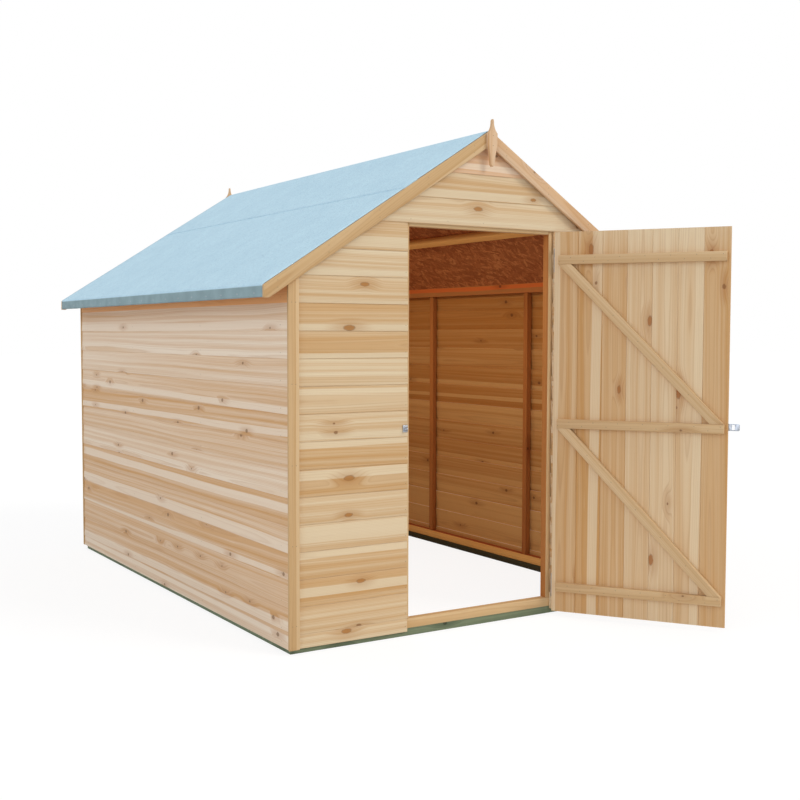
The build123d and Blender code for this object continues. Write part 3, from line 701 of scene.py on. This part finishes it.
# ---------------------------------------------------------------- barges, finials and corner trims
# Planed softwood: barge boards nailed over the felt's ends, a shaped finial over each joint, and
# strips that cover the ends of the wall boards.
planed = softwood("dipped_planed_trim", "#DCBE94", "#C19761", "#A26C37", "#6E4520", 0.6,
                  knot_share=0.05)
for number, (node, side, lean) in enumerate((
    ("front_barge_left", -1, -0.045), ("front_barge_right", 1, None),
    ("back_barge_left", -1, None), ("back_barge_right", 1, 0.045),
)):
    # The grain runs off two of the boards, so their pale sapwood shows only towards the ridge. The
    # other two are paler.
    dress(node, planed if lean else side_lapped[0], seed=60 + number, arris=0.0015,
          tone=0.6, lean=lean, streak=(-0.043, 0.009) if lean else None,
          face=Vector((side * math.sin(pitch), 0, math.cos(pitch))))
for number, node in enumerate(("front_finial", "back_finial")):
    dress(node, side_lapped[0], seed=70 + number, arris=0.001, tone=0.7)
# The inner third of each front corner trim is painted pale: a painted highlight along its rounded
# edge.
dress("front_corner_trims", planed, seed=80, arris=0.0015, tone=0.75,
      streak=(0.0145, 0.0075), face=Vector((1, 0, 0)), lean=0.0)
dress("rear_corner_trims", planed, seed=81, arris=0.0015, tone=0.7)

# ---------------------------------------------------------------- door
# Seven tongued and grooved softwood boards, 103 mm over the face, nailed to three ledges and two
# braces. It hangs on the right-hand post and stands open.
hinge = next(j for j in frame["joints"] if j["name"] == "door_hinge")
swing = math.radians(-hinge["range_deg"][0])
hinge_place = Vector((hinge["pos_m"][0], hinge["pos_m"][1], 0))
door_frame = Matrix.Translation(hinge_place) @ Matrix.Rotation(math.pi + swing, 4, "Z")
door_low, door_high = (corner.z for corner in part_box("door_boards"))
door_edge, door_width, door_face, door_t = 0.0025, 0.720, 0.0045, 0.010
joint, end_fade = 0.0003, 0.37
door_pine = softwood("planed_door_board", "#E8D0AB", "#CC9B60", "#A86C38", "#7E4D25", 0.6,
                     knot_share=0.03)
# Each board from the hinge: depth of colour, the middle and width in mm of its pale streak from
# its hinge side, then one knot's height and place across in mm, and its radius.
door_sorts = (
    (6, 8, 26, 0, 0, 0), (8, 79, 42, 1546, 52, 12), (6, 0, 0, 967, 75, 9), (3, 0, 0, 1250, 96, 11),
    (2, 0, 0, 270, 6, 12), (2.9, 84, 34, 961, 8, 13), (7, 0, 0, 1516, 32, 10),
)
each = door_width / len(door_sorts)
door_middle = (door_low + door_high) / 2
across = door_frame.to_3x3() @ Vector((1, 0, 0))
door = timber_shape()
for number, (tone, middle, width, knot_z, knot_x, knot_r) in enumerate(door_sorts):
    board = timber_shape()
    bmesh.ops.create_cube(board, size=1)
    left = door_edge + each * number
    gap = joint if number < len(door_sorts) - 1 else 0.0
    for v in board.verts:
        v.co = (left + each * (v.co.x + 0.5) - (gap if v.co.x > 0 else 0.0),
                -door_face - door_t * (0.5 - v.co.y), door_low if v.co.z < 0 else door_high)
    bmesh.ops.bevel(board, geom=long_edges(board, 1), offset=board_arris, affect="EDGES",
                    segments=1, profile=0.5, material=-1)
    bmesh.ops.subdivide_edges(board, edges=long_edges(board, 1), cuts=8, use_grid_fill=True)
    bmesh.ops.transform(board, matrix=door_frame, verts=board.verts)
    knot = (knot_z / 1000 - door_middle, knot_x / 1000 - each / 2, knot_r / 1000)
    saw(board, board.verts[:], (0, 0, 1), across, 900 + number, tone / deepest,
        (middle / 1000 - each / 2, width / 2000) if width else None, knot=knot if knot_r else None)
    # All but the first board are paler above the top ledge, towards their top ends.
    depth = board.verts.layers.float_vector["streak"]
    for v in board.verts:
        if number and v.co.z > door_high - 0.01:
            v[depth] = v[depth] - Vector((0, 0, end_fade))
    add_to(door, board)
show("door_planks", door, door_pine, ["door_boards"], "door")
dress("door_ledges", planed, "door", seed=91, arris=0.002, tone=0.3)
dress("door_braces", planed, "door", seed=93, arris=0.002, tone=0.3)

# ---------------------------------------------------------------- ironmongery
# Pressed steel, bright zinc plated: two tee hinges on the door's outer face, and a hasp that drops
# over a staple beside the doorway.
zinc, add, surface = new_material("bright_zinc_plated_steel")
# Plating spangle about 4 mm across, some of it duller.
spangle = add("TexNoise", {"Vector": add("TexCoord").outputs["Object"], "Scale": 260.0,
                           "Detail": 3.0})
colour = add("ValToRGB", {0: spangle}, stops=((0.3, "#9EA3AC"), (0.75, "#C9CDD4")))
gloss = add("MapRange", (spangle, 0.3, 0.7, 0.32, 0.48))
plug(surface, {"Base Color": colour, "Roughness": gloss, "Metallic": 1.0})
for node, body in (("hinge_leaves", "shed"), ("hinge_straps", "door"), ("hasp_plate", "door"),
                   ("hasp_leaf", "hasp"), ("staple", "shed")):
    shape = merged_copy(node, bmesh.new())
    square = [e for e in shape.edges if e.is_manifold and e.calc_face_angle() > 0.9]
    bmesh.ops.bevel(shape, geom=square, offset=0.0004, affect="EDGES", segments=2, profile=0.5,
                    material=-1, clamp_overlap=True)
    show(node + "_pressing", shape, zinc, [node], body)

# ---------------------------------------------------------------- nails and screws
# Lost-head nails hold each wall board at every stud, and the trims, barges, ledges and braces.
# Clout nails hold the felt's turned-down edge, and cross-head screws hold the ironmongery.


def heads(name, places, radius, material, body="shed", rise=0.0002, cross=False):
    """Nail or screw heads in one mesh. A place is a point on the face and the way that it looks."""
    thick, arm, slot = 0.0016, 0.62, 0.16
    row = bmesh.new()
    for point, outward in places:
        head = bmesh.new()
        bmesh.ops.create_cone(head, cap_ends=True, segments=16 if cross else 12, radius1=radius,
                              radius2=radius * (0.8 if cross else 0.92), depth=thick)
        if cross:
            # The top is cut into strips, and those that make the cross are pushed in.
            for way in ((1, 0, 0), (0, 1, 0)):
                for far in (-arm, -slot, slot, arm):
                    bmesh.ops.bisect_plane(head, geom=head.verts[:] + head.edges[:] + head.faces[:],
                                           plane_co=Vector(way) * far * radius, plane_no=way)
            slots = []
            for side in head.faces:
                near, away = sorted(abs(c) / radius for c in side.calc_center_median()[:2])
                if side.normal.z > 0.9 and near < slot and away < arm:
                    slots.append(side)
            sunk = bmesh.ops.extrude_face_region(head, geom=slots)["geom"]
            bmesh.ops.delete(head, geom=slots, context="FACES")
            bmesh.ops.translate(head, vec=(0, 0, -thick / 2),
                                verts=[v for v in sunk if isinstance(v, bmesh.types.BMVert)])
        bmesh.ops.recalc_face_normals(head, faces=head.faces)
        turn = Vector(outward).to_track_quat("Z", "Y").to_matrix().to_4x4()
        place = Vector(point) + Vector(outward) * (rise - thick / 2)
        bmesh.ops.transform(head, matrix=Matrix.Translation(place) @ turn, verts=head.verts)
        add_to(row, head)
    show(name, row, material, body=body)


# Sherardised steel nails, dull, stained by the dip.
nail_steel, add, surface = new_material("dip_stained_nail_steel")
stain = add("TexNoise", {"Vector": add("TexCoord").outputs["Object"], "Scale": 900.0,
                         "Detail": 2.0})
colour = add("ValToRGB", {0: stain}, stops=((0.35, "#8A7458"), (0.7, "#A8987C")))
plug(surface, {"Base Color": colour, "Metallic": 0.4, "Roughness": 0.55})
small_nail, trim_nail, clout_nail, strap_screw, small_screw = 0.0015, 0.0017, 0.0032, 0.0034, 0.0022

# The wall boards' nails stand 22 mm above each lap, where the sloping face is a little thinner.
above = 0.022
face_depth = foot_out + (head_out - foot_out) * above / (board_rise + board_lap)
studs = merged_copy("left_studs", bmesh.new())
stud_lines = sorted(sum(v.co.y for v in stud) / len(stud) for stud in sticks(studs))
studs.free()
wall_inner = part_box("right_cladding")[0].x
for side, name in ((-1, "left"), (1, "right")):
    heads(name + "_wall_nails", [((side * (wall_inner + face_depth), y, lap + above), (side, 0, 0))
                                 for lap in side_laps[:-1] for y in stud_lines],
          small_nail, nail_steel)
half_post, half_stud = 0.009, 0.019
front_inner, back_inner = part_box("front_gable")[1].y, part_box("back_cladding")[0].y
front_face = front_inner - face_depth
post_lines = (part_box("front_cladding_left")[1].x - half_post,
              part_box("front_cladding_right")[0].x + half_post)
lintel_left, lintel_right = (corner.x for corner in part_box("door_lintel"))
lintel_lines = [lintel_left + (lintel_right - lintel_left) * k / 4 for k in range(5)]
heads("front_wall_nails", [((x, front_face, lap + above), (0, -1, 0))
                           for lap in side_laps for x in post_lines]
      + [((x, front_face, door_head + 0.014), (0, -1, 0)) for x in lintel_lines],
      small_nail, nail_steel)
back_line = (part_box("back_studs")[1].x - half_stud) / 3
heads("back_wall_nails", [((x, back_inner + face_depth, lap + above), (0, 1, 0))
                          for lap in front_laps for x in (-back_line, back_line)],
      small_nail, nail_steel)

# Two nails across each trim every 300 mm, two through each barge at five places and two in each
# finial.
for end, outward in (("front", -1), ("back", 1)):
    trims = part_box("front_corner_trims" if end == "front" else "rear_corner_trims")
    barge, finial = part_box(end + "_barge_right"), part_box(end + "_finial")
    outer, way = (0 if end == "front" else 1), (0, outward, 0)
    trim_middle, ridge_top = trims[1].x - 0.022, barge[1].z
    places = [((side * (trim_middle + shift), trims[outer].y, 0.11 + 0.3 * k), way)
              for side in (-1, 1) for k in range(5) for shift in (-0.008, 0.008)]
    places += [((side * x, barge[outer].y,
                 ridge_top - x * math.tan(pitch) - below / math.cos(pitch)), way)
               for side in (-1, 1) for x in (0.08, 0.3, 0.52, 0.74, 0.95)
               for below in (0.014, 0.036)]
    places += [((0, finial[outer].y, ridge_top - below), way) for below in (0.022, 0.062)]
    heads(end + "_trim_nails", places, trim_nail, nail_steel)

# Clout nails, dull galvanised, in the felt's turned-down edge every 150 mm.
heads("felt_clout_nails", [((side * eaves_x, roof_front + 0.07 + 0.15 * k, eaves_foot + 0.014),
                            (side, 0, 0)) for side in (-1, 1) for k in range(17)],
      clout_nail, zinc, rise=0.0004)

# The door's nails, two to a board at each ledge on both faces, and one to a board along each brace.
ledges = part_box("door_ledges")
ledge_w, ledge_t = 0.038, 0.022
ledge_middles = (ledges[0].z + ledge_w / 2, door_middle, ledges[1].z - ledge_w / 2)
board_middles = [door_edge + each * (number + 0.5) for number in range(len(door_sorts))]
inside, outside = (door_frame.to_3x3() @ Vector((0, way, 0)) for way in (-1, 1))
nails = [(x + shift, z + shift / 3) for z in ledge_middles for x in board_middles
         for shift in (-0.024, 0.024)]
brace_low, brace_high = board_middles[-1] + 0.009, board_middles[0] - 0.001
nails += [(x, low + ledge_w / 2
           + (high - low - ledge_w) * (brace_low - x) / (brace_low - brace_high))
          for low, high in zip(ledge_middles, ledge_middles[1:]) for x in board_middles[1:-1]]
for name, depth, way in (("door_inner_nails", door_face + door_t + ledge_t, inside),
                         ("door_outer_nails", door_face, outside)):
    heads(name, [(door_frame @ Vector((x, -depth, z)), way) for x, z in nails], trim_nail,
          nail_steel, "door")

# Four screws in each strap, three in each leaf, and two each in the hasp and the staple.
strap_t, hasp_t = 0.0025, 0.002
hasp_z = next(j for j in frame["joints"] if j["name"] == "hasp_hinge")["pos_m"][2]
hinge_zs = (ledge_middles[0], ledge_middles[2])
leaf_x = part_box("hinge_leaves")[1].x - 0.016
staple_x = sum(corner.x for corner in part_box("staple")) / 2
heads("door_screws", [(door_frame @ Vector((x, strap_t - door_face, z)), outside)
                      for z in hinge_zs for x in (0.04, 0.12, 0.2, 0.28)]
      + [(door_frame @ Vector((0.689, hasp_t - door_face, hasp_z + rise)), outside)
         for rise in (-0.008, 0.008)], strap_screw, zinc, "door", rise=0.0006, cross=True)
heads("wall_screws", [((leaf_x, front_inner - foot_out - strap_t, z + rise), (0, -1, 0))
                      for z in hinge_zs for rise in (-0.036, 0.0, 0.036)]
      + [((staple_x, front_inner - foot_out - hasp_t, hasp_z + rise), (0, -1, 0))
         for rise in (-0.0112, 0.0112)], small_screw, zinc, rise=0.0005, cross=True)
